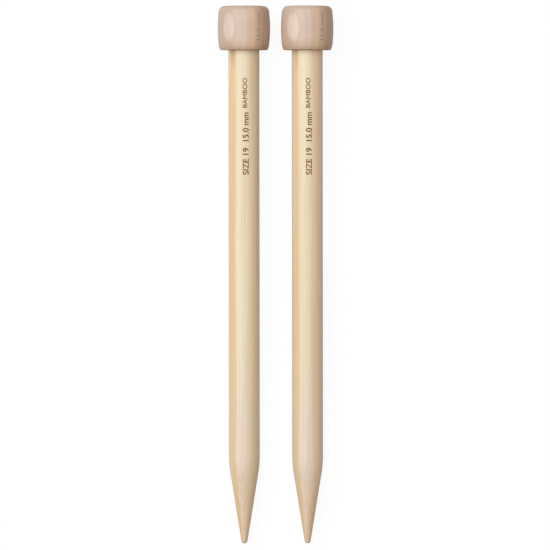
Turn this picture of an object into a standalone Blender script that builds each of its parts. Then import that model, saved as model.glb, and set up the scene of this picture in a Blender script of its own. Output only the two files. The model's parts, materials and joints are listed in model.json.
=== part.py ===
"""A pair of straight, single-pointed knitting needles, lying side by side on a table.

Each needle is two turned pieces: a bamboo shaft with a conical point at one end, and a
hardwood knob whose blind, flat-bottomed socket is glued over the shaft's plain other end.
The two needles are identical and loose. A needle lies on the side of its knob and on the
blended shoulder where its point begins, so its axis rises gently towards the knob and its
tip stays clear of the table.

Frame: metres, +Z up, table at Z = 0. +Y runs from the tips to the knobs, and +X from the
left needle to the right one. The origin is on the table, in the middle of the pair.
"""

import math

import bpy

MM = 0.001

# Driving dimensions of one needle, measured along its own axis from the very tip.
NEEDLE_LENGTH = 260.9 * MM
SHAFT_RADIUS = 7.5 * MM
TIP_RADIUS = 1.5 * MM
POINT_HALF_ANGLE = math.radians(9.15)
SHOULDER_BLEND_RADIUS = 52.0 * MM

# The knob is a barrel: its side is one long arc, widest above the middle of its height.
KNOB_HEIGHT = 21.35 * MM
KNOB_RADIUS = 12.7 * MM
KNOB_WIDEST_BELOW_END = 10.8 * MM
BARREL_ARC_RADIUS = 70.0 * MM
END_CORNER_RADIUS = 2.8 * MM
BASE_ROUND_RADIUS = 8.5 * MM
BASE_ROUND_HEIGHT = 3.05 * MM

# The glued joint: how far the shaft goes into the knob, and the room left for glue.
SOCKET_DEPTH = 14.0 * MM
SHAFT_END_CHAMFER = 0.6 * MM
GLUE_GAP = 0.3 * MM

# The pair.
AXIS_SPACING = 30.7 * MM

# Points along an arc, and facets round a turned piece. A multiple of four puts an edge
# of the facets at the very bottom, where the needle touches the table.
TURNING_FACETS = 48
ARC_STEP = math.radians(12.0)
LONG_ARC_STEP = math.radians(2.2)
MERGE_DISTANCE = 0.00001

# Heights along the needle's axis.
KNOB_BASE_Z = NEEDLE_LENGTH - KNOB_HEIGHT
KNOB_WIDEST_Z = NEEDLE_LENGTH - KNOB_WIDEST_BELOW_END

BAMBOO = ("bamboo", (0.78, 0.64, 0.42), 0.42)
HARDWOOD = ("turned_hardwood", (0.69, 0.50, 0.37), 0.50)


def arc(centre_x, centre_z, radius, start, end, step):
    """Points (x, z) along an arc, from the start angle to the end angle."""
    count = max(1, math.ceil(abs(end - start) / step))
    angles = [start + (end - start) * i / count for i in range(count + 1)]
    return [(centre_x + radius * math.cos(a), centre_z + radius * math.sin(a)) for a in angles]


def blend_centre():
    """Centre (x, z) of the shoulder arc that touches both the straight side and the cone."""
    half = POINT_HALF_ANGLE
    # Where the straight side and the cone would meet, had the shoulder no blend.
    corner_z = TIP_RADIUS + (SHAFT_RADIUS - TIP_RADIUS / math.cos(half)) / math.tan(half)
    centre_z = corner_z + SHOULDER_BLEND_RADIUS * math.tan(half / 2)
    return SHAFT_RADIUS - SHOULDER_BLEND_RADIUS, centre_z


def shaft_profile():
    """Half section of the shaft, from its end inside the knob down to the tip."""
    half = POINT_HALF_ANGLE
    end_z = KNOB_BASE_Z + SOCKET_DEPTH - GLUE_GAP
    end = [
        (0.0, end_z),
        (SHAFT_RADIUS - SHAFT_END_CHAMFER, end_z),
        (SHAFT_RADIUS, end_z - SHAFT_END_CHAMFER),
    ]
    blend = arc(*blend_centre(), SHOULDER_BLEND_RADIUS, 0.0, -half, LONG_ARC_STEP)
    tip = arc(0.0, TIP_RADIUS, TIP_RADIUS, -half, -math.pi / 2, ARC_STEP)
    tip[-1] = (0.0, 0.0)
    return end + blend + tip


def end_corner_centre():
    """Centre (x, z) of the corner arc that touches both the end face and the barrel."""
    centre_z = NEEDLE_LENGTH - END_CORNER_RADIUS
    reach = BARREL_ARC_RADIUS - END_CORNER_RADIUS
    side = math.sqrt(reach ** 2 - (centre_z - KNOB_WIDEST_Z) ** 2)
    return KNOB_RADIUS - BARREL_ARC_RADIUS + side, centre_z


def knob_profile():
    """Half section of the knob: end face, barrel and underside, then up the socket."""
    barrel_x = KNOB_RADIUS - BARREL_ARC_RADIUS
    corner_x, corner_z = end_corner_centre()
    corner_start = math.atan2(corner_z - KNOB_WIDEST_Z, corner_x - barrel_x)
    corner = arc(corner_x, corner_z, END_CORNER_RADIUS, math.pi / 2, corner_start, ARC_STEP)

    round_top_z = KNOB_BASE_Z + BASE_ROUND_HEIGHT
    barrel_end = -math.asin((KNOB_WIDEST_Z - round_top_z) / BARREL_ARC_RADIUS)
    side = arc(barrel_x, KNOB_WIDEST_Z, BARREL_ARC_RADIUS, corner_start, barrel_end, LONG_ARC_STEP)

    inset = BARREL_ARC_RADIUS - BASE_ROUND_RADIUS
    base_x = barrel_x + inset * math.cos(barrel_end)
    base_z = KNOB_WIDEST_Z + inset * math.sin(barrel_end)
    base_end = -math.asin((base_z - KNOB_BASE_Z) / BASE_ROUND_RADIUS)
    base = arc(base_x, base_z, BASE_ROUND_RADIUS, barrel_end, base_end, ARC_STEP)

    socket_radius = SHAFT_RADIUS + GLUE_GAP
    socket_top_z = KNOB_BASE_Z + SOCKET_DEPTH
    socket = [
        (socket_radius, KNOB_BASE_Z),
        (socket_radius, socket_top_z),
        (0.0, socket_top_z),
    ]
    return [(0.0, NEEDLE_LENGTH)] + corner + side[1:] + base[1:] + socket


def lying_tilt():
    """Angle between a needle's axis and the table.

    The table touches two arcs of the section, the shoulder's and the barrel's.
    """
    blend_x, blend_z = blend_centre()
    run = KNOB_WIDEST_Z - blend_z
    step = blend_x - (KNOB_RADIUS - BARREL_ARC_RADIUS)
    growth = BARREL_ARC_RADIUS - SHOULDER_BLEND_RADIUS
    return math.asin(growth / math.hypot(run, step)) - math.atan2(step, run)


def tip_height(tilt):
    """Height of the very tip above the table."""
    blend_x, blend_z = blend_centre()
    return SHOULDER_BLEND_RADIUS + blend_x * math.cos(tilt) - blend_z * math.sin(tilt)


def tip_position_y(tilt):
    """Y of the very tip that puts the middle of the lying pair at Y = 0."""
    corner_x, corner_z = end_corner_centre()
    reach = (corner_z - TIP_RADIUS) * math.cos(tilt)
    reach += corner_x * math.sin(tilt) + END_CORNER_RADIUS
    ball_y = (TIP_RADIUS - reach) / 2
    return ball_y - TIP_RADIUS * math.cos(tilt)


def make_material(name, colour, roughness):
    """A plain Principled wood finish."""
    material = bpy.data.materials.new(name)
    material.use_nodes = True
    shader = material.node_tree.nodes["Principled BSDF"]
    shader.inputs["Base Color"].default_value = (*colour, 1.0)
    shader.inputs["Roughness"].default_value = roughness
    shader.inputs["Metallic"].default_value = 0.0
    return material


def profile_mesh(name, points, material):
    """A half section as a chain of edges in the XZ plane, ready for a Screw modifier."""
    mesh = bpy.data.meshes.new(name)
    vertices = [(x, 0.0, z) for x, z in points]
    edges = [(i, i + 1) for i in range(len(points) - 1)]
    mesh.from_pydata(vertices, edges, [])
    mesh.materials.append(material)
    return mesh


def turned_piece(name, mesh, parent, collection):
    """One turned piece: a profile spun about the needle's axis."""
    piece = bpy.data.objects.new(name, mesh)
    piece.parent = parent
    collection.objects.link(piece)
    turning = piece.modifiers.new("turning", "SCREW")
    turning.axis = "Z"
    turning.angle = 2 * math.pi
    turning.screw_offset = 0.0
    turning.steps = TURNING_FACETS
    turning.render_steps = TURNING_FACETS
    turning.use_merge_vertices = True
    turning.merge_threshold = MERGE_DISTANCE
    turning.use_smooth_shade = True
    return piece


def needle_frame(name, x, collection):
    """An empty at the needle's very tip, whose own Z runs along the axis to the knob."""
    tilt = lying_tilt()
    frame = bpy.data.objects.new(name, None)
    frame.empty_display_size = SHAFT_RADIUS
    frame.location = (x, tip_position_y(tilt), tip_height(tilt))
    frame.rotation_euler = (tilt - math.pi / 2, 0.0, 0.0)
    collection.objects.link(frame)
    return frame


def clear_scene():
    for item in list(bpy.data.objects):
        bpy.data.objects.remove(item, do_unlink=True)


def main():
    clear_scene()
    needles = bpy.data.collections.new("straight_knitting_needles")
    bpy.context.scene.collection.children.link(needles)
    shaft = profile_mesh("shaft_profile", shaft_profile(), make_material(*BAMBOO))
    knob = profile_mesh("knob_profile", knob_profile(), make_material(*HARDWOOD))
    for side, x in (("left", -AXIS_SPACING / 2), ("right", AXIS_SPACING / 2)):
        frame = needle_frame(side + "_needle", x, needles)
        turned_piece(side + "_shaft", shaft, frame, needles)
        turned_piece(side + "_knob", knob, frame, needles)


main()
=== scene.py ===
# %% [markdown]
# # A pair of straight knitting needles
#
# The real object is two loose, identical needles. Each one is a bamboo rod, 15 mm across,
# sanded to a long point, with a turned hardwood knob glued on its other end so that the
# stitches can't slide off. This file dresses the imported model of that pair: it turns finer
# rods and knobs, marks the size on them, gives the woods their grain, and lights the pair
# from above on a plain white table.
#
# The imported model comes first. It says where each needle lies, and every size below that it
# can give is read from it.

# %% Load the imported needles
import json
import math

import bmesh
import bpy
import numpy as np
from mathutils import Matrix, Vector


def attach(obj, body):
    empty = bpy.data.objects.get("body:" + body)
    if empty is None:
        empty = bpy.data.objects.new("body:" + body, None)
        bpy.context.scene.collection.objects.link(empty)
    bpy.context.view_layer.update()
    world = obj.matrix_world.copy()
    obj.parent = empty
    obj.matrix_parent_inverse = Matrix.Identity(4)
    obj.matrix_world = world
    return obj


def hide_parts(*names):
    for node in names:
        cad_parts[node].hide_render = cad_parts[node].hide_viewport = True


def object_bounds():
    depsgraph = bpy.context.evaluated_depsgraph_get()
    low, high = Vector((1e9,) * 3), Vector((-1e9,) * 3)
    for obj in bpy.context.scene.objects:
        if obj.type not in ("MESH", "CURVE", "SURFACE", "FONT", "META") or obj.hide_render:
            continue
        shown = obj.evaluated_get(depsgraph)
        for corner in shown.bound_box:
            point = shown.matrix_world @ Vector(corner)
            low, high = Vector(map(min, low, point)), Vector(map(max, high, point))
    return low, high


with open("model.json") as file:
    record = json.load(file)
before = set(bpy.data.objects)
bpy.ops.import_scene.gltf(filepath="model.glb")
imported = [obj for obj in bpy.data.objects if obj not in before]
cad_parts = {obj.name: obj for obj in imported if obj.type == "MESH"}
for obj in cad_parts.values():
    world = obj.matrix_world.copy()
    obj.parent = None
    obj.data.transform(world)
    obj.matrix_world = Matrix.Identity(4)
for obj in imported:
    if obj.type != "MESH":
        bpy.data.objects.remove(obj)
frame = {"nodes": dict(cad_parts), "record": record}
cad_low, cad_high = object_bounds()
MM = 0.001
SIDES = ("left", "right")
print("packed nodes:", sorted(frame["nodes"]), "size in mm:", (cad_high - cad_low) / MM)


# %% [markdown]
# ## Where each needle lies
#
# A needle rests on the side of its knob and on the shoulder where its point begins, so its
# axis is not level. It is easier to work in a frame of the needle's own, with Z along the
# axis from the very tip (0) to the knob's end, X as in the world, and Y pointing down at the
# table. The knob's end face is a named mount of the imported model: its centre is a point of
# the axis, and its normal is the axis. Everything is built in that frame and moved into
# place in the mesh itself, because a finished piece's object stays at the origin.


# %% The needle's own frame
def needle_matrix(side):
    """Turns the needle's own coordinates into the world's, and gives the needle's length."""
    mount = next(m for m in frame["record"]["mounts"] if m["name"] == side + "_knob_end")
    along = Vector(mount["axis"]).normalized()
    end = Vector(mount["pos_m"])
    points = [v.co for v in frame["nodes"][side + "_shaft"].data.vertices]
    length = max((end - p).dot(along) for p in points)
    across = Vector((1.0, 0.0, 0.0))
    down = along.cross(across)
    axes = Matrix((across, down, along)).transposed().to_4x4()
    return Matrix.Translation(end - length * along) @ axes, length


def reach_from_axis(node, matrix):
    """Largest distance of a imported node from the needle's axis, and its span along it."""
    inverse = matrix.inverted()
    points = np.array([inverse @ v.co for v in frame["nodes"][node].data.vertices])
    return np.hypot(points[:, 0], points[:, 1]).max(), points[:, 2].min(), points[:, 2].max()


PLACE = {}
for side in SIDES:
    PLACE[side], NEEDLE_LENGTH = needle_matrix(side)
SHAFT_RADIUS, _, SHAFT_END_Z = reach_from_axis("left_shaft", PLACE["left"])
_, KNOB_BASE_Z, _ = reach_from_axis("left_knob", PLACE["left"])
print("length %.2f mm, shaft radius %.2f mm" % (NEEDLE_LENGTH / MM, SHAFT_RADIUS / MM))


# %% [markdown]
# ## Turning on a lathe, with Geometry Nodes
#
# A rod and a knob are both bodies of revolution, so one node tree can make either from a
# half section. The half section is drawn the way a turner's drawing gives it: a chain of
# corners, each with the radius that it is rounded to. The tree rounds the corners with
# Fillet Curve, lays a grid with one row for each point of the section and one column for
# each facet, and swings each column round the axis. Spin or Screw would do the same job;
# the node tree is used because the number of facets and of points in an arc stay inputs
# that can be changed, and because the rounding stays an attribute of each corner.


# %% One function that adds a node
def add(tree, kind, inputs=None, stops=None, **settings):
    """Adds a node with its settings, and sets or links its inputs by name or by number."""
    node = tree.nodes.new(kind)
    for name, value in settings.items():
        setattr(node, name, value)
    for name, value in (inputs or {}).items():
        if isinstance(value, bpy.types.NodeSocket):
            tree.links.new(value, node.inputs[name])
        else:
            node.inputs[name].default_value = value
    for i, (place, colour) in enumerate(stops or ()):
        ramp = node.color_ramp.elements
        stop = ramp[i] if i < 2 else ramp.new(place)
        stop.position = place
        stop.color = colour
    return node


# A Mix node has inputs of the same name for each type of value, so the ones for colour are
# known by number, and so is its colour result.
MIX_SHARE, MIX_FIRST, MIX_SECOND, MIX_RESULT = 0, 6, 7, 2


# %% The lathe tree
def lathe_tree():
    """Corners in, turned surface out. Inputs: Facets, Arc Points, Weld, Wood."""
    tree = bpy.data.node_groups.new("lathe", "GeometryNodeTree")
    face = tree.interface
    face.new_socket("Corners", in_out="INPUT", socket_type="NodeSocketGeometry")
    face.new_socket("Facets", in_out="INPUT", socket_type="NodeSocketInt")
    face.new_socket("Arc Points", in_out="INPUT", socket_type="NodeSocketInt")
    face.new_socket("Weld", in_out="INPUT", socket_type="NodeSocketFloat")
    face.new_socket("Wood", in_out="INPUT", socket_type="NodeSocketMaterial")
    face.new_socket("Turned", in_out="OUTPUT", socket_type="NodeSocketGeometry")
    given = add(tree, "NodeGroupInput").outputs

    chain = add(tree, "GeometryNodeMeshToCurve", {"Mesh": given["Corners"]})
    rounding = add(tree, "GeometryNodeInputNamedAttribute", {"Name": "rounding"}, data_type="FLOAT")
    fillet = add(tree, "GeometryNodeFilletCurve", {
        "Curve": chain.outputs["Curve"],
        "Count": given["Arc Points"],
        "Radius": rounding.outputs["Attribute"],
        "Limit Radius": True,
    }, mode="POLY")
    section = add(tree, "GeometryNodeCurveToMesh", {"Curve": fillet.outputs["Curve"]})
    rows = add(tree, "GeometryNodeAttributeDomainSize", {"Geometry": section.outputs["Mesh"]})
    columns = add(tree, "FunctionNodeIntegerMath", {0: given["Facets"], 1: 1}, operation="ADD")
    grid = add(tree, "GeometryNodeMeshGrid", {
        "Vertices X": columns.outputs[0],
        "Vertices Y": rows.outputs["Point Count"],
    })

    index = add(tree, "GeometryNodeInputIndex").outputs["Index"]
    count = rows.outputs["Point Count"]
    row = add(tree, "FunctionNodeIntegerMath", {0: index, 1: count}, operation="MODULO")
    column = add(tree, "FunctionNodeIntegerMath", {0: index, 1: count}, operation="DIVIDE_FLOOR")
    position = add(tree, "GeometryNodeInputPosition").outputs["Position"]
    point = add(tree, "GeometryNodeSampleIndex", {
        "Geometry": section.outputs["Mesh"],
        "Value": position,
        "Index": row.outputs[0],
    }, data_type="FLOAT_VECTOR", domain="POINT")
    turn = add(tree, "ShaderNodeMath", {0: column.outputs[0], 1: given["Facets"]}, operation="DIVIDE")
    angle = add(tree, "ShaderNodeMath", {0: turn.outputs[0], 1: math.tau}, operation="MULTIPLY")
    swung = add(tree, "ShaderNodeVectorRotate", {
        "Vector": point.outputs["Value"],
        "Angle": angle.outputs[0],
    }, rotation_type="Z_AXIS")
    placed = add(tree, "GeometryNodeSetPosition", {
        "Geometry": grid.outputs["Mesh"],
        "Position": swung.outputs["Vector"],
    })
    welded = add(tree, "GeometryNodeMergeByDistance", {
        "Geometry": placed.outputs["Geometry"],
        "Distance": given["Weld"],
    })
    real = add(tree, "GeometryNodeRealizeInstances", {"Geometry": welded.outputs["Geometry"]})
    wooden = add(tree, "GeometryNodeSetMaterial", {
        "Geometry": real.outputs["Geometry"],
        "Material": given["Wood"],
    })
    add(tree, "NodeGroupOutput", {"Turned": wooden.outputs["Geometry"]})
    return tree


LATHE = lathe_tree()
print("lathe tree:", len(LATHE.nodes), "nodes")


# %% Turn one piece
WELD = 0.002 * MM
CREASE = math.radians(28.0)


def turn_piece(name, corners, side, wood, facets, arc_points):
    """Turns a half section of (radius, height, rounding) corners and lays it in place."""
    base = bpy.data.meshes.new(name + "_section")
    base.from_pydata(
        [(radius, 0.0, height) for radius, height, _ in corners],
        [(i, i + 1) for i in range(len(corners) - 1)],
        [],
    )
    rounding = base.attributes.new("rounding", "FLOAT", "POINT")
    rounding.data.foreach_set("value", [corner[2] for corner in corners])
    blank = bpy.data.objects.new(name + "_blank", base)
    bpy.context.collection.objects.link(blank)
    turning = blank.modifiers.new("turning", "NODES")
    turning.node_group = LATHE
    values = {"Facets": facets, "Arc Points": arc_points, "Weld": WELD, "Wood": wood}
    for item in LATHE.interface.items_tree:
        if item.in_out == "INPUT" and item.name in values:
            turning[item.identifier] = values[item.name]
    graph = bpy.context.evaluated_depsgraph_get()
    mesh = bpy.data.meshes.new_from_object(blank.evaluated_get(graph))
    bpy.data.objects.remove(blank, do_unlink=True)
    mesh.name = name
    shape = bmesh.new()
    shape.from_mesh(mesh)
    bmesh.ops.remove_doubles(shape, verts=shape.verts, dist=WELD)
    bmesh.ops.recalc_face_normals(shape, faces=shape.faces)
    shape.to_mesh(mesh)
    shape.free()
    mesh.transform(PLACE[side])
    mesh.shade_smooth()
    mesh.set_sharp_from_angle(angle=CREASE)
    piece = bpy.data.objects.new(name, mesh)
    bpy.context.collection.objects.link(piece)
    open_edges = sum(1 for count in edge_uses(mesh).values() if count != 2)
    print(name, len(mesh.polygons), "faces,", open_edges, "open edges")
    return piece


def edge_uses(mesh):
    """How many faces use each edge: two everywhere on a closed piece."""
    uses = {}
    for polygon in mesh.polygons:
        for key in polygon.edge_keys:
            uses[key] = uses.get(key, 0) + 1
    return uses


# %% [markdown]
# ## Colours
#
# Colours are chosen as sRGB hex values, as a paint chart gives them, while the shader
# works in linear light. One function turns the first into the second.


# %% Hex to linear colour
def linear(hex_colour):
    """An sRGB hex value as the linear RGBA that a shader socket wants."""
    channels = [int(hex_colour[i:i + 2], 16) / 255 for i in (1, 3, 5)]
    return tuple(
        c / 12.92 if c <= 0.04045 else ((c + 0.055) / 1.055) ** 2.4 for c in channels
    ) + (1.0,)


print("mid grey #808080 is %.3f in linear light" % linear("#808080")[0])


# %% [markdown]
# ## Wood that is solid all the way through
#
# Turned wood shows its inside: a streak that runs straight along the rod is cut at a slant
# on the point and shows as a dot on the tip. So both woods are patterns in space, read from
# Object coordinates and carried into the needle's own frame by a Mapping node. A second
# Mapping node stretches the pattern along the grain. It also shifts it, because the two
# needles are cut from different places in the culm and the plank.


# %% Coordinates in the needle's own frame
def needle_space(tree, side, scale=(1.0, 1.0, 1.0), shift=(0.0, 0.0, 0.0)):
    """Needle coordinates divided by a grain size, then shifted by a number of grains."""
    here = add(tree, "ShaderNodeTexCoord").outputs["Object"]
    local = add(tree, "ShaderNodeMapping", {
        "Vector": here,
        "Location": PLACE[side].translation,
        "Rotation": PLACE[side].to_euler(),
    }, vector_type="TEXTURE")
    grain = add(tree, "ShaderNodeMapping", {
        "Vector": local.outputs["Vector"],
        "Location": shift,
        "Scale": [1.0 / size for size in scale],
    })
    return grain.outputs["Vector"]


RISE = math.degrees(math.asin(PLACE["left"].col[2].z))
print("each needle rises %.2f degrees towards its knob" % RISE)


# %% [markdown]
# ## Sides and ends of a needle
#
# Some tones belong to one place: one side of the rod, or one end of it. The sides carry
# painted light and shade at the same angle to the lamps on both needles, and so does the end
# beside the knob. They could be painted on an image, but a rule carries them round to the
# back and down to the tip without a seam. The side is found by the angle round the axis, and
# the end by the height on it. The angle wanders slowly along the rod, so a band doesn't run
# perfectly straight.

# %% Find a side or an end
SIDE_WANDER = math.radians(10.0)
WANDER_SIZE = (9.0 * MM, 9.0 * MM, 70.0 * MM)


def around_axis(tree, side):
    """The angle round the axis from straight up, positive to the right, with a slow wander."""
    parts = add(tree, "ShaderNodeSeparateXYZ", {"Vector": needle_space(tree, side)}).outputs
    up = add(tree, "ShaderNodeMath", {0: parts["Y"], 1: -1.0}, operation="MULTIPLY")
    angle = add(tree, "ShaderNodeMath", {0: parts["X"], 1: up.outputs[0]}, operation="ARCTAN2")
    slow = add(tree, "ShaderNodeTexNoise", {
        "Vector": needle_space(tree, side, WANDER_SIZE),
        "Scale": 1.0,
        "Detail": 1.0,
    })
    drift = add(tree, "ShaderNodeMapRange", {
        "Value": slow.outputs["Fac"],
        "To Min": -SIDE_WANDER,
        "To Max": SIDE_WANDER,
    })
    total = add(tree, "ShaderNodeMath", {0: angle.outputs[0], 1: drift.outputs[0]}, operation="ADD")
    return total.outputs[0]


def side_band(tree, side, rise_over, fall_over, height=1.0):
    """A band along one side of the rod: rises over two angles in degrees, falls over two."""
    angle = around_axis(tree, side)
    rise = add(tree, "ShaderNodeMapRange", {
        "Value": angle,
        "From Min": math.radians(rise_over[0]),
        "From Max": math.radians(rise_over[1]),
    }, interpolation_type="SMOOTHSTEP")
    fall = add(tree, "ShaderNodeMapRange", {
        "Value": angle,
        "From Min": math.radians(fall_over[0]),
        "From Max": math.radians(fall_over[1]),
        "To Min": height,
        "To Max": 0.0,
    }, interpolation_type="SMOOTHSTEP")
    both = add(tree, "ShaderNodeMath", {0: rise.outputs[0], 1: fall.outputs[0]}, operation="MULTIPLY")
    return both.outputs[0]


def along_needle(tree, side, nought_at, one_at):
    """Runs from nought to one between two heights on the needle's axis."""
    height = add(tree, "ShaderNodeSeparateXYZ", {"Vector": needle_space(tree, side)}).outputs["Z"]
    share = add(tree, "ShaderNodeMapRange", {
        "Value": height,
        "From Min": nought_at,
        "From Max": one_at,
    })
    return share.outputs[0]


print("sides wander by up to %.0f degrees" % math.degrees(SIDE_WANDER))


# %% [markdown]
# ## Bamboo, sanded and waxed
#
# Bamboo has no rings. It is a pale, soft ground with stiff bundles of fibre through it,
# each about half a millimetre across and one millimetre from the next. Along the rod they are
# long, thin, slightly darker streaks; on the point they are cut at a slant. A Voronoi
# pattern, stretched along the axis, scatters them as a culm does.
#
# A golden band is painted along the upper left of each rod, where the strong panel's light
# falls but its highlight doesn't; it runs the whole length, tip included. A warmer tint is
# painted as shade on the right side, away from the strong panel. The end towards the point
# grew higher up the culm, and its ground is a little whiter.

# %% Grain of bamboo
BUNDLE_SPACING = 0.95 * MM
BUNDLE_LENGTH = 150.0 * MM
BUNDLE_EDGE = 0.16
BUNDLE_FADE = 0.42
FIBRE_WIDTH = 0.22 * MM
FIBRE_LENGTH = 30.0 * MM
TONE_WIDTH = 5.0 * MM
TONE_LENGTH = 110.0 * MM


def bamboo_grain(tree, side, shift):
    """Three patterns from 0 to 1: the streaks of the bundles, fine fibres and a slow tone."""
    bundles = add(tree, "ShaderNodeTexVoronoi", {
        "Vector": needle_space(tree, side, (BUNDLE_SPACING, BUNDLE_SPACING, BUNDLE_LENGTH), shift),
        "Scale": 1.0,
        "Randomness": 0.9,
    })
    streak = add(tree, "ShaderNodeMapRange", {
        "Value": bundles.outputs["Distance"],
        "From Min": BUNDLE_EDGE,
        "From Max": BUNDLE_FADE,
        "To Min": 1.0,
        "To Max": 0.0,
    }, interpolation_type="SMOOTHSTEP")
    fibres = add(tree, "ShaderNodeTexNoise", {
        "Vector": needle_space(tree, side, (FIBRE_WIDTH, FIBRE_WIDTH, FIBRE_LENGTH), shift),
        "Scale": 1.0,
        "Detail": 3.0,
    })
    tone = add(tree, "ShaderNodeTexNoise", {
        "Vector": needle_space(tree, side, (TONE_WIDTH, TONE_WIDTH, TONE_LENGTH), shift),
        "Scale": 1.0,
        "Detail": 2.0,
    })
    return streak.outputs[0], fibres.outputs["Fac"], tone.outputs["Fac"]


print("bundles every %.2f mm, fibres %.2f mm wide" % (BUNDLE_SPACING / MM, FIBRE_WIDTH / MM))


# %% [markdown]
# ## The colour of the bamboo
#
# The tones are laid over each other. First comes the ground, then the painted golden band of
# light on the upper left, which darkens over the last centimetre before the knob as a painted
# shadow of the knob. Then come the fine fibres, the warmer painted shade on the right side,
# and the cut ends of the fibres on the point, which take more wax and look a little redder.
# The streaks of the bundles lie on top.

# %% Tones of bamboo
# Painted light: a golden band on the upper left of each rod, where the highlight doesn't reach.
LIT_BAND_RISE = {"left": (-63.0, -51.0), "right": (-58.0, -46.0)}
LIT_BAND_FALL = {"left": (-39.0, -27.0), "right": (-43.0, -31.0)}
# Painted shade: a warmer tint on the right side of each rod, away from the strong panel.
SHADE_BAND_RISE = (6.0, 40.0)
SHADE_BAND_FALL = (100.0, 160.0)
SHADE_BAND_SHARE = 0.75
SHADE_BAND_TONE = {"left": "#F0D5AD", "right": "#F7D0A8"}
UPPER_FROM = 90.0 * MM
UPPER_TO = 60.0 * MM
# Painted shadow of the knob: the golden band darkens over this length before the knob.
KNOB_SHADOW_LENGTH = 11.0 * MM
POINT_FROM = 38.0 * MM
POINT_TO = 4.0 * MM
FIBRE_SHARE = 0.35
STREAK_SHARE = 0.22


def culm_tone(tree, side, tone):
    """The ground of the culm, a little whiter towards the point."""
    lower = add(tree, "ShaderNodeValToRGB", {"Fac": tone}, stops=(
        (0.30, linear("#E7D5B5")),
        (0.70, linear("#EEE1C6")),
    ))
    upper = add(tree, "ShaderNodeValToRGB", {"Fac": tone}, stops=(
        (0.30, linear("#E7D4BD")),
        (0.70, linear("#EEE0CF")),
    ))
    ground = add(tree, "ShaderNodeMix", {
        MIX_SHARE: along_needle(tree, side, UPPER_FROM, UPPER_TO),
        MIX_FIRST: lower.outputs["Color"],
        MIX_SECOND: upper.outputs["Color"],
    }, data_type="RGBA")
    return ground.outputs[MIX_RESULT]


def lit_band_tone(tree, side, tone):
    """The painted golden band of light, darkened beside the knob by a painted shadow of the knob."""
    golden = add(tree, "ShaderNodeValToRGB", {"Fac": tone}, stops=(
        (0.35, linear("#EED2A3")),
        (0.65, linear("#EFCFA6")),
    ))
    # Painted shadow of the knob, darkest right at the knob.
    shade_painted = add(tree, "ShaderNodeMix", {
        MIX_SHARE: along_needle(tree, side, KNOB_BASE_Z - KNOB_SHADOW_LENGTH, KNOB_BASE_Z),
        MIX_FIRST: golden.outputs["Color"],
        MIX_SECOND: linear("#CFB187"),
    }, data_type="RGBA")
    return shade_painted.outputs[MIX_RESULT]


def bamboo_colour(tree, side, streak, fibres, tone):
    """All the tones of one rod, laid over each other."""
    # Painted light: the golden band on the upper left of the rod.
    lit_band_mix = add(tree, "ShaderNodeMix", {
        MIX_SHARE: side_band(tree, side, LIT_BAND_RISE[side], LIT_BAND_FALL[side]),
        MIX_FIRST: culm_tone(tree, side, tone),
        MIX_SECOND: lit_band_tone(tree, side, tone),
    }, data_type="RGBA")
    fibre_tones = add(tree, "ShaderNodeValToRGB", {"Fac": fibres}, stops=(
        (0.30, linear("#EBD9BA")),
        (0.70, linear("#FFFCF6")),
    ))
    fibred = add(tree, "ShaderNodeMix", {
        MIX_SHARE: FIBRE_SHARE,
        MIX_FIRST: lit_band_mix.outputs[MIX_RESULT],
        MIX_SECOND: fibre_tones.outputs["Color"],
    }, data_type="RGBA", blend_type="MULTIPLY")
    # Painted shade: the warmer tint on the right side of the rod.
    shade_band_mix = add(tree, "ShaderNodeMix", {
        MIX_SHARE: side_band(tree, side, SHADE_BAND_RISE, SHADE_BAND_FALL, SHADE_BAND_SHARE),
        MIX_FIRST: fibred.outputs[MIX_RESULT],
        MIX_SECOND: linear(SHADE_BAND_TONE[side]),
    }, data_type="RGBA")
    cut_ends = add(tree, "ShaderNodeMix", {
        MIX_SHARE: along_needle(tree, side, POINT_FROM, POINT_TO),
        MIX_FIRST: shade_band_mix.outputs[MIX_RESULT],
        MIX_SECOND: linear("#FDF0E2"),
    }, data_type="RGBA", blend_type="MULTIPLY")
    strength = add(tree, "ShaderNodeMath", {0: streak, 1: STREAK_SHARE}, operation="MULTIPLY")
    streaked = add(tree, "ShaderNodeMix", {
        MIX_SHARE: strength.outputs[0],
        MIX_FIRST: cut_ends.outputs[MIX_RESULT],
        MIX_SECOND: linear("#C79F65"),
    }, data_type="RGBA")
    return streaked.outputs[MIX_RESULT]


# This is the length of the painted shadow of the knob on the golden band.
print("glue soaks %.0f mm into the golden side" % (KNOB_SHADOW_LENGTH / MM))


# %% [markdown]
# ## The surface of the bamboo
#
# Fine sanding and wax leave a satin surface: a soft shine from the wood and a sharper one
# from the thin coat of wax. The harder fibres and bundles stand about a hundredth of a
# millimetre proud, which breaks the shine into fine lines along the rod.

# %% Bamboo material
WOOD_IOR = 1.45
FIBRE_RELIEF = 0.02 * MM
FIBRE_HEIGHT = 0.4
WAX_COAT = 0.3
WAX_ROUGHNESS = 0.2


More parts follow.
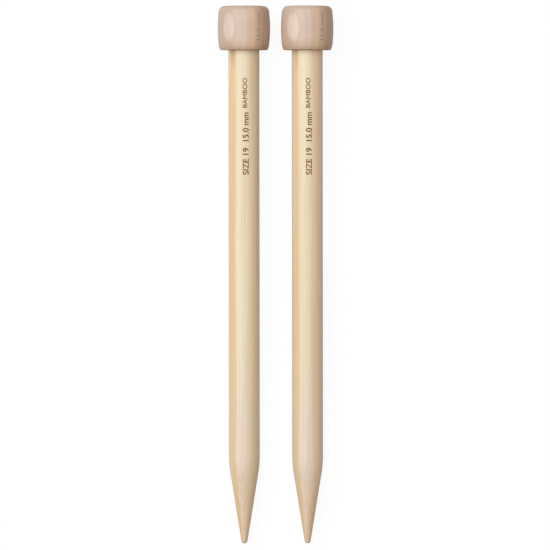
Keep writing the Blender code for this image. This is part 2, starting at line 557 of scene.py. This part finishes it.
def bamboo(side, shift):
    """Waxed bamboo for one shaft."""
    wood = bpy.data.materials.new(side + "_bamboo_waxed")
    wood.use_nodes = True
    tree = wood.node_tree
    shader = tree.nodes["Principled BSDF"]
    streak, fibres, tone = bamboo_grain(tree, side, shift)
    tree.links.new(bamboo_colour(tree, side, streak, fibres, tone), shader.inputs["Base Color"])
    rough = add(tree, "ShaderNodeMapRange", {
        "Value": fibres,
        "From Min": 0.3,
        "From Max": 0.7,
        "To Min": 0.36,
        "To Max": 0.46,
    })
    tree.links.new(rough.outputs[0], shader.inputs["Roughness"])
    relief = add(tree, "ShaderNodeMath", {
        0: fibres,
        1: FIBRE_HEIGHT,
        2: streak,
    }, operation="MULTIPLY_ADD")
    bump = add(tree, "ShaderNodeBump", {
        "Height": relief.outputs[0],
        "Strength": 0.6,
        "Distance": FIBRE_RELIEF,
    })
    tree.links.new(bump.outputs["Normal"], shader.inputs["Normal"])
    shader.inputs["IOR"].default_value = WOOD_IOR
    shader.inputs["Coat Weight"].default_value = WAX_COAT
    shader.inputs["Coat Roughness"].default_value = WAX_ROUGHNESS
    print(wood.name, len(tree.nodes), "nodes")
    return wood


# %% [markdown]
# ## Beech, turned and lacquered
#
# The knob is a pale, pinkish hardwood, close in look to steamed beech. Its grain runs along
# the axis, because it is turned from a round bar. The bar is so thin beside the tree that
# its growth layers are almost flat sheets, and they face up and to the left; they carry the
# faint rings. The same sheets carry the knob's painted light and shade: a row of tones runs
# from a painted highlight, a pale lens where the barrel is fattest, to painted shade on the
# right. A sheet is the simplest pattern there is: the distance in one direction, here with a
# slow wander, read off a row of tones.

# %% Growth layers and painted light in beech
LAYER_WANDER = 0.25
LIGHT_AND_SHADE_SPAN = 14.0
LAYER_DRIFT_SIZE = (6.0 * MM, 6.0 * MM, 24.0 * MM)
# Painted highlight and shade across the knob: pale on the upper left, darker to the right.
LIGHT_AND_SHADE_TONES = (
    (0.056, "#E5CFBE"),
    (0.066, "#CFB6A5"),
    (0.118, "#D3BAA9"),
    (0.154, "#DCC3B2"),
    (0.180, "#D4B8A0"),
    (0.225, "#DEBFA6"),
    (0.280, "#DEBFA6"),
    (0.325, "#D4B59A"),
    (0.400, "#D3B397"),
    (0.445, "#C8A48A"),
    (0.600, "#CBAB96"),
    (0.760, "#D2C2BA"),
)


def layers_and_painted_light(tree, side, facing):
    """Distance across the layers in millimetres, and the same run from 0 to 1 over the bar for the
    painted light and shade.
    """
    across = add(tree, "ShaderNodeVectorMath", {
        0: needle_space(tree, side, (MM, MM, MM)),
        1: (math.sin(facing), math.cos(facing), 0.0),
    }, operation="DOT_PRODUCT")
    slow = add(tree, "ShaderNodeTexNoise", {
        "Vector": needle_space(tree, side, LAYER_DRIFT_SIZE),
        "Scale": 1.0,
        "Detail": 1.0,
    })
    drift = add(tree, "ShaderNodeMapRange", {
        "Value": slow.outputs["Fac"],
        "To Min": -LAYER_WANDER,
        "To Max": LAYER_WANDER,
    })
    wavy = add(tree, "ShaderNodeMath", {0: across.outputs["Value"], 1: drift.outputs[0]}, operation="ADD")
    share = add(tree, "ShaderNodeMapRange", {
        "Value": wavy.outputs[0],
        "From Min": -LIGHT_AND_SHADE_SPAN,
        "From Max": LIGHT_AND_SHADE_SPAN,
    })
    return wavy.outputs[0], share.outputs[0]


print(len(LIGHT_AND_SHADE_TONES), "tones across a bar of", 2 * LIGHT_AND_SHADE_SPAN, "mm")


# %% [markdown]
# ## The figure of the beech
#
# Over the layers lie faint rings and a soft mottle. Towards the base the knob is painted a
# little darker, as shade where the base rolls under. The wood's rays show as fine flecks
# about a millimetre long, and the pores are finer still.

# %% Tones of beech
RING_SPACING = 2.4 * MM
RING_DARKEST = 0.955
MOTTLE_WIDTH = 7.0 * MM
MOTTLE_LENGTH = 16.0 * MM
# Painted shade: the knob darkens over this length towards its base.
BASE_SHADE_LENGTH = 6.0 * MM
FLECK_SPACING = 0.90 * MM
FLECK_PITCH = 2.2 * MM
FLECK_EDGE = 0.10
FLECK_FADE = 0.30
FLECK_SHARE = 0.22
PORE_WIDTH = 0.14 * MM
PORE_LENGTH = 1.1 * MM
PORE_SHARE = 0.35


def beech_ground(tree, side, shift, facing):
    """The painted light and shade of the layers, with their rings, mottle and painted shade at the base.
    """
    layer, share = layers_and_painted_light(tree, side, facing)
    tones = add(tree, "ShaderNodeValToRGB", {"Fac": share},
                stops=[(at, linear(tone)) for at, tone in LIGHT_AND_SHADE_TONES])
    turns = add(tree, "ShaderNodeMath", {0: layer, 1: math.tau * MM / RING_SPACING},
                operation="MULTIPLY")
    ripple = add(tree, "ShaderNodeMath", {0: turns.outputs[0]}, operation="SINE")
    rings = add(tree, "ShaderNodeMapRange", {
        "Value": ripple.outputs[0],
        "From Min": -1.0,
        "To Min": RING_DARKEST,
    })
    cloud = add(tree, "ShaderNodeTexNoise", {
        "Vector": needle_space(tree, side, (MOTTLE_WIDTH, MOTTLE_WIDTH, MOTTLE_LENGTH), shift),
        "Scale": 1.0,
        "Detail": 2.0,
    })
    mottle = add(tree, "ShaderNodeMapRange", {
        "Value": cloud.outputs["Fac"],
        "From Min": 0.3,
        "From Max": 0.7,
        "To Min": 0.95,
        "To Max": 1.03,
    })
    shade = add(tree, "ShaderNodeMath", {0: rings.outputs[0], 1: mottle.outputs[0]}, operation="MULTIPLY")
    shaded = add(tree, "ShaderNodeVectorMath", {
        0: tones.outputs["Color"],
        "Scale": shade.outputs[0],
    }, operation="SCALE")
    # Painted shade towards the base, from none to darkest at the base.
    base_shade_share = along_needle(tree, side, KNOB_BASE_Z + BASE_SHADE_LENGTH, KNOB_BASE_Z)
    base_shade_ramp = add(tree, "ShaderNodeValToRGB", {"Fac": base_shade_share}, stops=(
        (0.0, linear("#FFFFFF")),
        (0.55, linear("#F9F5EC")),
        (1.0, linear("#EEE2D7")),
    ))
    shade_painted = add(tree, "ShaderNodeVectorMath", {
        0: shaded.outputs["Vector"],
        1: base_shade_ramp.outputs["Color"],
    }, operation="MULTIPLY")
    return shade_painted.outputs["Vector"]


def flecks_and_pores(tree, side, shift, ground):
    """Adds the rays' flecks and the pores; also gives the pattern of the pores."""
    rays = add(tree, "ShaderNodeTexVoronoi", {
        "Vector": needle_space(tree, side, (FLECK_SPACING, FLECK_SPACING, FLECK_PITCH), shift),
        "Scale": 1.0,
    })
    fleck = add(tree, "ShaderNodeMapRange", {
        "Value": rays.outputs["Distance"],
        "From Min": FLECK_EDGE,
        "From Max": FLECK_FADE,
        "To Min": FLECK_SHARE,
        "To Max": 0.0,
    }, interpolation_type="SMOOTHSTEP")
    flecked = add(tree, "ShaderNodeMix", {
        MIX_SHARE: fleck.outputs[0],
        MIX_FIRST: ground,
        MIX_SECOND: linear("#B07F60"),
    }, data_type="RGBA")
    pores = add(tree, "ShaderNodeTexNoise", {
        "Vector": needle_space(tree, side, (PORE_WIDTH, PORE_WIDTH, PORE_LENGTH), shift),
        "Scale": 1.0,
        "Detail": 2.0,
    }).outputs["Fac"]
    pore = add(tree, "ShaderNodeMapRange", {
        "Value": pores,
        "From Min": 0.36,
        "From Max": 0.30,
        "To Min": 0.0,
        "To Max": PORE_SHARE,
    })
    pored = add(tree, "ShaderNodeMix", {
        MIX_SHARE: pore.outputs[0],
        MIX_FIRST: flecked.outputs[MIX_RESULT],
        MIX_SECOND: linear("#9A6E54"),
    }, data_type="RGBA")
    return pored.outputs[MIX_RESULT], pores


print("a fleck every %.1f mm, pores %.2f mm wide" % (FLECK_PITCH / MM, PORE_WIDTH / MM))


# %% [markdown]
# ## The surface of the beech
#
# Two thin coats of clear lacquer give the knob its low, even shine. The lacquer sinks into
# the pores, so they are a little duller than the wood between them and lie a trace deeper.

# %% Beech material
PORE_RELIEF = 0.02 * MM
LACQUER_COAT = 0.2
LACQUER_ROUGHNESS = 0.16


def beech(side, shift, facing):
    """Lacquered steamed beech for one knob."""
    wood = bpy.data.materials.new(side + "_beech_lacquered")
    wood.use_nodes = True
    tree = wood.node_tree
    shader = tree.nodes["Principled BSDF"]
    ground = beech_ground(tree, side, shift, facing)
    colour, pores = flecks_and_pores(tree, side, shift, ground)
    tree.links.new(colour, shader.inputs["Base Color"])
    rough = add(tree, "ShaderNodeMapRange", {
        "Value": pores,
        "From Min": 0.3,
        "From Max": 0.7,
        "To Min": 0.46,
        "To Max": 0.38,
    })
    tree.links.new(rough.outputs[0], shader.inputs["Roughness"])
    bump = add(tree, "ShaderNodeBump", {
        "Height": pores,
        "Strength": 0.5,
        "Distance": PORE_RELIEF,
    })
    tree.links.new(bump.outputs["Normal"], shader.inputs["Normal"])
    shader.inputs["IOR"].default_value = WOOD_IOR
    shader.inputs["Coat Weight"].default_value = LACQUER_COAT
    shader.inputs["Coat Roughness"].default_value = LACQUER_ROUGHNESS
    print(wood.name, len(tree.nodes), "nodes")
    return wood


# %% [markdown]
# ## Small finishes: the marks and the glue
#
# The marks on the shaft are burnt into the bamboo in thin brown lines, the one on the knob is
# a faint print, and a hair of dried glue shows between knob and shaft, dark as a painted
# shadow of the gap there. All three are matt and dark, so they shine far less than the wood.
# A little noise keeps them from looking like a flat decal.

# %% Mark and glue materials
MATT_ROUGHNESS = 0.6
MATT_SPECULAR = 0.2


def dark_finish(name, side, dark, light, grain):
    """A small matt finish whose tone varies slightly from place to place."""
    finish = bpy.data.materials.new(side + "_" + name)
    finish.use_nodes = True
    tree = finish.node_tree
    shader = tree.nodes["Principled BSDF"]
    noise = add(tree, "ShaderNodeTexNoise", {
        "Vector": needle_space(tree, side, (grain, grain, grain * 4)),
        "Scale": 1.0,
        "Detail": 2.0,
    })
    tone = add(tree, "ShaderNodeValToRGB", {"Fac": noise.outputs["Fac"]}, stops=(
        (0.35, linear(dark)),
        (0.65, linear(light)),
    ))
    tree.links.new(tone.outputs["Color"], shader.inputs["Base Color"])
    shader.inputs["Roughness"].default_value = MATT_ROUGHNESS
    shader.inputs["Specular IOR Level"].default_value = MATT_SPECULAR
    print(finish.name, "from", dark, "to", light)
    return finish


# %% [markdown]
# ## The shaft
#
# Six corners draw the whole rod. From the hidden end: the end face, its small chamfer, the
# straight side down to the shoulder, the cone, and the tip. The shoulder is blended with a
# radius of 52 mm, which is why the point seems to grow out of the rod with no line, and the
# tip is a ball of 1.5 mm radius.

# %% Turn the shafts
POINT_HALF_ANGLE = math.radians(9.15)
TIP_RADIUS = 1.5 * MM
SHOULDER_BLEND = 52.0 * MM
END_CHAMFER = 0.6 * MM
SHAFT_FACETS = 160
SHAFT_ARC_POINTS = 18


def shaft_corners():
    """The rod's half section, from the end in the knob to the tip."""
    cone_foot = TIP_RADIUS * math.tan((math.pi / 2 - POINT_HALF_ANGLE) / 2)
    shoulder_z = (SHAFT_RADIUS - cone_foot) / math.tan(POINT_HALF_ANGLE)
    return [
        (0.0, SHAFT_END_Z, 0.0),
        (SHAFT_RADIUS - END_CHAMFER, SHAFT_END_Z, 0.0),
        (SHAFT_RADIUS, SHAFT_END_Z - END_CHAMFER, 0.0),
        (SHAFT_RADIUS, shoulder_z, SHOULDER_BLEND),
        (cone_foot, 0.0, TIP_RADIUS),
        (0.0, 0.0, 0.0),
    ]


BAMBOO_SHIFT = {"left": (3.1, 7.4, 0.3), "right": (18.6, 2.9, 0.8)}
for side in SIDES:
    shaft = turn_piece(side + "_shaft_turned", shaft_corners(), side,
                       bamboo(side, BAMBOO_SHIFT[side]), SHAFT_FACETS, SHAFT_ARC_POINTS)
    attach(shaft, side + "_needle")
    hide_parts(side + "_shaft")


# %% [markdown]
# ## The knob
#
# The knob's side is one long arc, so its corner chain has a blunt corner at the widest
# place with a rounding of 70 mm. The end is rounded over with 2.8 mm. The base rolls in and
# then stops at an edge rounded with only half a millimetre. The socket's mouth is slightly
# chamfered, and it holds the shaft with almost no gap.

# %% Turn the knobs
KNOB_RADIUS = 12.7 * MM
WIDEST_BELOW_END = 10.8 * MM
BARREL_ARC = 70.0 * MM
SIDE_LEAN = math.radians(6.2)
END_ROUNDING = 2.8 * MM
BASE_RADIUS = 11.4 * MM
BASE_LEAN = math.radians(27.0)
BASE_ROUNDING = 8.5 * MM
BASE_EDGE = 0.55 * MM
SOCKET_CLEARANCE = 0.06 * MM
SOCKET_MOUTH = 0.30 * MM
SOCKET_FLOOR_GAP = 0.3 * MM
KNOB_FACETS = 192
KNOB_ARC_POINTS = 20


def knob_corners():
    """The knob's half section: end, barrel, base, and up the socket."""
    widest_z = NEEDLE_LENGTH - WIDEST_BELOW_END
    blunt = KNOB_RADIUS + BARREL_ARC * (1 / math.cos(SIDE_LEAN) - 1)
    lean = math.tan(SIDE_LEAN)
    roll = math.tan(BASE_LEAN)
    rise = (blunt - lean * (widest_z - KNOB_BASE_Z) - BASE_RADIUS) / (roll - lean)
    socket = SHAFT_RADIUS + SOCKET_CLEARANCE
    return [
        (0.0, NEEDLE_LENGTH, 0.0),
        (blunt - lean * WIDEST_BELOW_END, NEEDLE_LENGTH, END_ROUNDING),
        (blunt, widest_z, BARREL_ARC),
        (BASE_RADIUS + roll * rise, KNOB_BASE_Z + rise, BASE_ROUNDING),
        (BASE_RADIUS, KNOB_BASE_Z, BASE_EDGE),
        (socket + SOCKET_MOUTH, KNOB_BASE_Z, 0.0),
        (socket, KNOB_BASE_Z + SOCKET_MOUTH, 0.0),
        (socket, SHAFT_END_Z + SOCKET_FLOOR_GAP, 0.0),
        (0.0, SHAFT_END_Z + SOCKET_FLOOR_GAP, 0.0),
    ]


BEECH_SHIFT = {"left": (0.4, 1.7, 5.2), "right": (2.3, 4.1, 9.6)}
# The sheets face the lamps, so they place the painted light and shade as well as the rings.
LAYER_AND_LIGHT_FACING = {"left": math.radians(36.5), "right": math.radians(34.5)}
for side in SIDES:
    knob = turn_piece(side + "_knob_turned", knob_corners(), side,
                      beech(side, BEECH_SHIFT[side], LAYER_AND_LIGHT_FACING[side]),
                      KNOB_FACETS, KNOB_ARC_POINTS)
    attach(knob, side + "_needle")
    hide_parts(side + "_knob")


# %% [markdown]
# ## The line of glue and painted shadow
#
# Where the shaft enters the knob, a hair of glue is squeezed out. It is a bead a fifth of a
# millimetre high under the knob, coloured dark as a painted shadow of the gap there, and it
# draws the dark line there. It is turned like the wood, from a section that closes on itself,
# so it is a ring.

# %% Turn the glue lines, dark as painted shadow
GLUE_BEAD = 0.18 * MM
GLUE_BELOW = 0.20 * MM
GLUE_ABOVE = 0.12 * MM
GLUE_GAP = 0.01 * MM
GLUE_GRAIN = 0.6 * MM


def glue_and_shadow_corners():
    """A small ring round the shaft, from inside the socket's mouth to just below the knob."""
    inner = SHAFT_RADIUS + GLUE_GAP
    outer = inner + GLUE_BEAD
    low, high = KNOB_BASE_Z - GLUE_BELOW, KNOB_BASE_Z + GLUE_ABOVE
    return [(inner, high, 0.0), (outer, high, 0.0), (outer, KNOB_BASE_Z - GLUE_GAP, 0.0),
            (inner, low, 0.0), (inner, high, 0.0)]


for side in SIDES:
    # The ring's dark colour is a painted shadow of the gap under the knob.
    glue = turn_piece(side + "_glue_and_shadow_line", glue_and_shadow_corners(), side,
                      dark_finish("glue_and_painted_shadow", side, "#5C3820", "#6E482C", GLUE_GRAIN),
                      SHAFT_FACETS, 1)
    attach(glue, side + "_needle")


# %% [markdown]
# ## The size mark
#
# Needles carry their size along the shaft, because a knitter must be able to tell 15 mm
# from 12 mm. The lettering is a text object made into a mesh while it is flat, cut into
# narrow strips across the letters, and then wrapped: the distance along the text becomes
# distance along the shaft, and the height of a letter becomes an angle round it. Without
# the strips, a long face would cut through the rod instead of following it.

# %% Letters while they are flat
MARK_THICKNESS = 0.06 * MM
OUTLINE_WELD = 0.0005
MITRE_LIMIT = 0.5


def embolden(letters, boldness):
    """Moves the outline of flat letters outwards, as a hotter iron would burn them."""
    letters.normal_update()
    moves = {}
    for vertex in letters.verts:
        walls = {tuple(round(n, 3) for n in face.normal)
                 for face in vertex.link_faces if abs(face.normal.z) < 0.5}
        middle = sum((Vector(wall) for wall in walls), Vector()) / max(1, len(walls))
        moves[vertex] = middle * boldness / max(MITRE_LIMIT, middle.length_squared)
    for vertex, move in moves.items():
        vertex.co += move


def flat_letters(words, height, length, boldness):
    """A thin closed mesh of a line of text, with its middle at the origin."""
    text = bpy.data.curves.new("letters", "FONT")
    text.body = words
    text.extrude = 0.5
    text.resolution_u = 8
    holder = bpy.data.objects.new("letters", text)
    bpy.context.collection.objects.link(holder)
    graph = bpy.context.evaluated_depsgraph_get()
    mesh = bpy.data.meshes.new_from_object(holder.evaluated_get(graph))
    bpy.data.objects.remove(holder, do_unlink=True)
    letters = bmesh.new()
    letters.from_mesh(mesh)
    bpy.data.meshes.remove(mesh)
    bmesh.ops.remove_doubles(letters, verts=letters.verts, dist=OUTLINE_WELD)
    bmesh.ops.triangulate(letters, faces=letters.faces)
    bmesh.ops.recalc_face_normals(letters, faces=letters.faces)
    embolden(letters, boldness)
    low = [min(v.co[i] for v in letters.verts) for i in range(3)]
    high = [max(v.co[i] for v in letters.verts) for i in range(3)]
    sizes = (length, height, MARK_THICKNESS)
    for vertex in letters.verts:
        for i in range(3):
            share = (vertex.co[i] - low[i]) / (high[i] - low[i]) - 0.5
            vertex.co[i] = share * sizes[i]
    return letters


print("marks are %.2f mm thick" % (MARK_THICKNESS / MM))


# %% Bend the letters round
STRIP = 0.25 * MM
MARK_PROUD = 0.015 * MM
CUT_TOLERANCE = 1e-7


def slice_across(letters, height):
    """Cuts the flat letters into strips that are narrow enough to bend."""
    strips = math.ceil(height / STRIP)
    for i in range(1, strips):
        everything = letters.verts[:] + letters.edges[:] + letters.faces[:]
        at = -height / 2 + height * i / strips
        bmesh.ops.bisect_plane(letters, geom=everything, plane_co=(0.0, at, 0.0),
                               plane_no=(0.0, 1.0, 0.0), dist=CUT_TOLERANCE)


def wrap_mark(name, words, side, radius_at, middle_z, turn, height, length, boldness, finish):
    """A line of text wrapped on the needle, reading towards the knob."""
    letters = flat_letters(words, height, length, boldness)
    slice_across(letters, height)
    for vertex in letters.verts:
        along, up, out = vertex.co
        z = middle_z + along
        radius = radius_at(z) + out + MARK_PROUD - MARK_THICKNESS / 2
        angle = turn - up / radius_at(z)
        vertex.co = (radius * math.sin(angle), -radius * math.cos(angle), z)
    bmesh.ops.recalc_face_normals(letters, faces=letters.faces)
    mesh = bpy.data.meshes.new(name)
    letters.to_mesh(mesh)
    letters.free()
    mesh.materials.append(finish)
    mesh.transform(PLACE[side])
    mark = bpy.data.objects.new(name, mesh)
    bpy.context.collection.objects.link(mark)
    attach(mark, side + "_needle")
    print(name, len(mesh.polygons), "faces")


# %% [markdown]
# ## Where the marks go
#
# The words are plain ones: the size by two common scales, and what the rod is made of. They
# run along the shaft in one line, the heavier size first, then the lighter word beside the
# knob. The knob repeats the size in small, faint figures on its right-hand side, where the
# radius changes with the height, so that mark is wrapped on the barrel's arc.

# %% Mark the shafts and the knobs
# Label, words, height, length, gap below the knob, boldness as a share of the letters' size.
SHAFT_MARKS = (
    ("size", "SIZE 19  15.0 mm", 3.0 * MM, 30.2 * MM, 30.2 * MM, 0.018),
    ("material", "BAMBOO", 2.2 * MM, 14.4 * MM, 13.6 * MM, 0.014),
)
BURN_GRAIN = 0.5 * MM
MARK_TOP_TURN = {"left": math.radians(-4.5), "right": math.radians(-5.5)}
KNOB_MARK = "15.0 mm"
KNOB_MARK_LENGTH = 13.2 * MM
KNOB_MARK_HEIGHT = 1.9 * MM
KNOB_MARK_BELOW_END = 10.2 * MM
KNOB_MARK_TURN = math.radians(35.0)
KNOB_MARK_BOLDNESS = 0.002
PRINT_GRAIN = 0.35 * MM


def barrel_radius(z):
    """Radius of the knob's side at a height."""
    rise = z - (NEEDLE_LENGTH - WIDEST_BELOW_END)
    return KNOB_RADIUS - BARREL_ARC + math.sqrt(BARREL_ARC ** 2 - rise ** 2)


for side in SIDES:
    burnt = dark_finish("burnt_mark", side, "#6A3E14", "#85561F", BURN_GRAIN)
    for label, words, height, length, below_knob, boldness in SHAFT_MARKS:
        wrap_mark(side + "_" + label + "_mark", words, side, lambda z: SHAFT_RADIUS,
                  KNOB_BASE_Z - below_knob - length / 2,
                  MARK_TOP_TURN[side] + height / 2 / SHAFT_RADIUS, height, length,
                  boldness, burnt)
    faint = dark_finish("faint_mark", side, "#94705A", "#B28E76", PRINT_GRAIN)
    wrap_mark(side + "_knob_mark", KNOB_MARK, side, barrel_radius,
              NEEDLE_LENGTH - KNOB_MARK_BELOW_END, KNOB_MARK_TURN, KNOB_MARK_HEIGHT,
              KNOB_MARK_LENGTH, KNOB_MARK_BOLDNESS, faint)


# %% [markdown]
# ## A plain white table
#
# The pair lies on a plain white table. A product table is lit from below, so that it stays
# white to the eye and swallows most of the shadow. A very strong lamp under a glass top would
# do that, but it would also light the needles from underneath. Here the table glows for the
# camera only; the needles themselves still see plain white paint.

# %% White table
FLOOR_RADIUS = 9.0
FLOOR_EDGES = 96
GLOW_SHARE = 0.85
GLOW_STRENGTH = 1.09


def camera_glow(tree, plain, glow, share):
    """Mixes in a glow that only the camera sees."""
    path = add(tree, "ShaderNodeLightPath").outputs["Is Camera Ray"]
    amount = add(tree, "ShaderNodeMath", {0: path, 1: share}, operation="MULTIPLY")
    mixed = add(tree, "ShaderNodeMixShader", {0: amount.outputs[0], 1: plain, 2: glow})
    return mixed.outputs["Shader"]


def white_table():
    """A plain round table top, far wider than any view of the needles."""
    paint = bpy.data.materials.new("white_table_paint")
    paint.use_nodes = True
    tree = paint.node_tree
    shader = tree.nodes["Principled BSDF"]
    shader.inputs["Base Color"].default_value = linear("#CFCECC")
    shader.inputs["Roughness"].default_value = 0.9
    shader.inputs["Specular IOR Level"].default_value = 0.2
    glow = add(tree, "ShaderNodeEmission", {"Strength": GLOW_STRENGTH}).outputs["Emission"]
    seen = camera_glow(tree, shader.outputs["BSDF"], glow, GLOW_SHARE)
    tree.links.new(seen, tree.nodes["Material Output"].inputs["Surface"])
    top = bmesh.new()
    bmesh.ops.create_circle(top, cap_ends=True, segments=FLOOR_EDGES, radius=FLOOR_RADIUS)
    mesh = bpy.data.meshes.new("white_table")
    top.to_mesh(mesh)
    top.free()
    mesh.materials.append(paint)
    table = bpy.data.objects.new("white_table", mesh)
    bpy.context.collection.objects.link(table)
    print("table %.0f m across" % (2 * FLOOR_RADIUS))


white_table()


# %% [markdown]
# ## A tent of soft panels
#
# The light is a long tent of three soft panels over the table: a strong one up on the left,
# a weaker one straight above, and a faint one low on the right. Each panel is longer than the
# needles, so its reflection runs the whole length of the shaft as one band. The strong panel
# gives the pale band left of the middle, and the falling strength towards the right lets each
# shaft darken round to its far side. Area lights are used rather than glowing planes, because
# they are less noisy for the same softness.

# %% Hang the panels
PANEL_DISTANCE = 1.2
PANEL_LENGTH = 1.6
PANEL_SHIFT = 0.35
# Name, lean and spread in degrees, radiance.
PANELS = (
    ("left_panel", -34.0, 45.0, 2.78),
    ("top_panel", 8.0, 40.0, 1.3),
    ("right_panel", 66.0, 64.0, 0.24),
)


def soft_panel(name, lean, spread, radiance):
    """A panel along Y, leaning from the vertical, as wide as an angle seen from the needles."""
    data = bpy.data.lights.new(name, "AREA")
    data.shape = "RECTANGLE"
    data.size = 2 * PANEL_DISTANCE * math.tan(math.radians(spread / 2))
    data.size_y = PANEL_LENGTH
    data.energy = math.pi * data.size * data.size_y * radiance
    panel = bpy.data.objects.new(name, data)
    angle = math.radians(lean)
    across, height = PANEL_DISTANCE * math.sin(angle), PANEL_DISTANCE * math.cos(angle)
    panel.location = (across, PANEL_SHIFT, height)
    panel.rotation_euler = (0.0, angle, 0.0)
    panel.visible_camera = False
    bpy.context.collection.objects.link(panel)
    print(name, "%.2f m wide, %.1f W" % (data.size, data.energy))


for panel in PANELS:
    soft_panel(*panel)


# %% [markdown]
# ## The room beyond the table
#
# A pale room fills the shadows a little. Seen past the edge of the table it would be a dark
# wall, so the camera sees it nearly as bright as the table, and the horizon stays quiet in a
# low view.

# %% Fill the room
ROOM_FILL = 0.12
BACKDROP = 0.945
world = bpy.data.worlds.new("studio_room")
world.use_nodes = True
room = world.node_tree
dim = room.nodes["Background"]
dim.inputs["Color"].default_value = linear("#FFFFFF")
dim.inputs["Strength"].default_value = ROOM_FILL
bright = add(room, "ShaderNodeBackground", {"Color": linear("#FFFFFF"), "Strength": BACKDROP})
backdrop = camera_glow(room, dim.outputs["Background"], bright.outputs["Background"], 1.0)
room.links.new(backdrop, room.nodes["World Output"].inputs["Surface"])
bpy.context.scene.world = world
print("room fill %.2f, backdrop %.3f" % (ROOM_FILL, BACKDROP))


# %% [markdown]
# ## Camera above the pair
#
# The camera looks straight down from 2.5 m through a long lens, so the needles are almost
# free of perspective. The width of the view at the needles' height sets the lens. The camera
# is turned by a hair about its own axis, because the pair doesn't lie quite square to it.

# %% Place the camera
CAMERA_HEIGHT = 2.5
SENSOR = 36.0
VIEW_WIDTH = 266.6 * MM
CENTRE_OFFSET = (-0.38 * MM, -0.11 * MM)
ROLL = math.radians(-0.06)
CLIP_END = 50.0

camera_data = bpy.data.cameras.new("camera")
camera_data.sensor_width = SENSOR
mid_height = (cad_low.z + cad_high.z) / 2
camera_data.lens = SENSOR * (CAMERA_HEIGHT - mid_height) / VIEW_WIDTH
camera_data.clip_end = CLIP_END
camera = bpy.data.objects.new("camera", camera_data)
camera.location = (CENTRE_OFFSET[0], CENTRE_OFFSET[1], CAMERA_HEIGHT)
camera.rotation_euler = (0.0, 0.0, ROLL)
bpy.context.collection.objects.link(camera)
bpy.context.scene.camera = camera
bpy.context.scene.view_settings.view_transform = "Standard"
print("lens %.0f mm" % camera_data.lens)
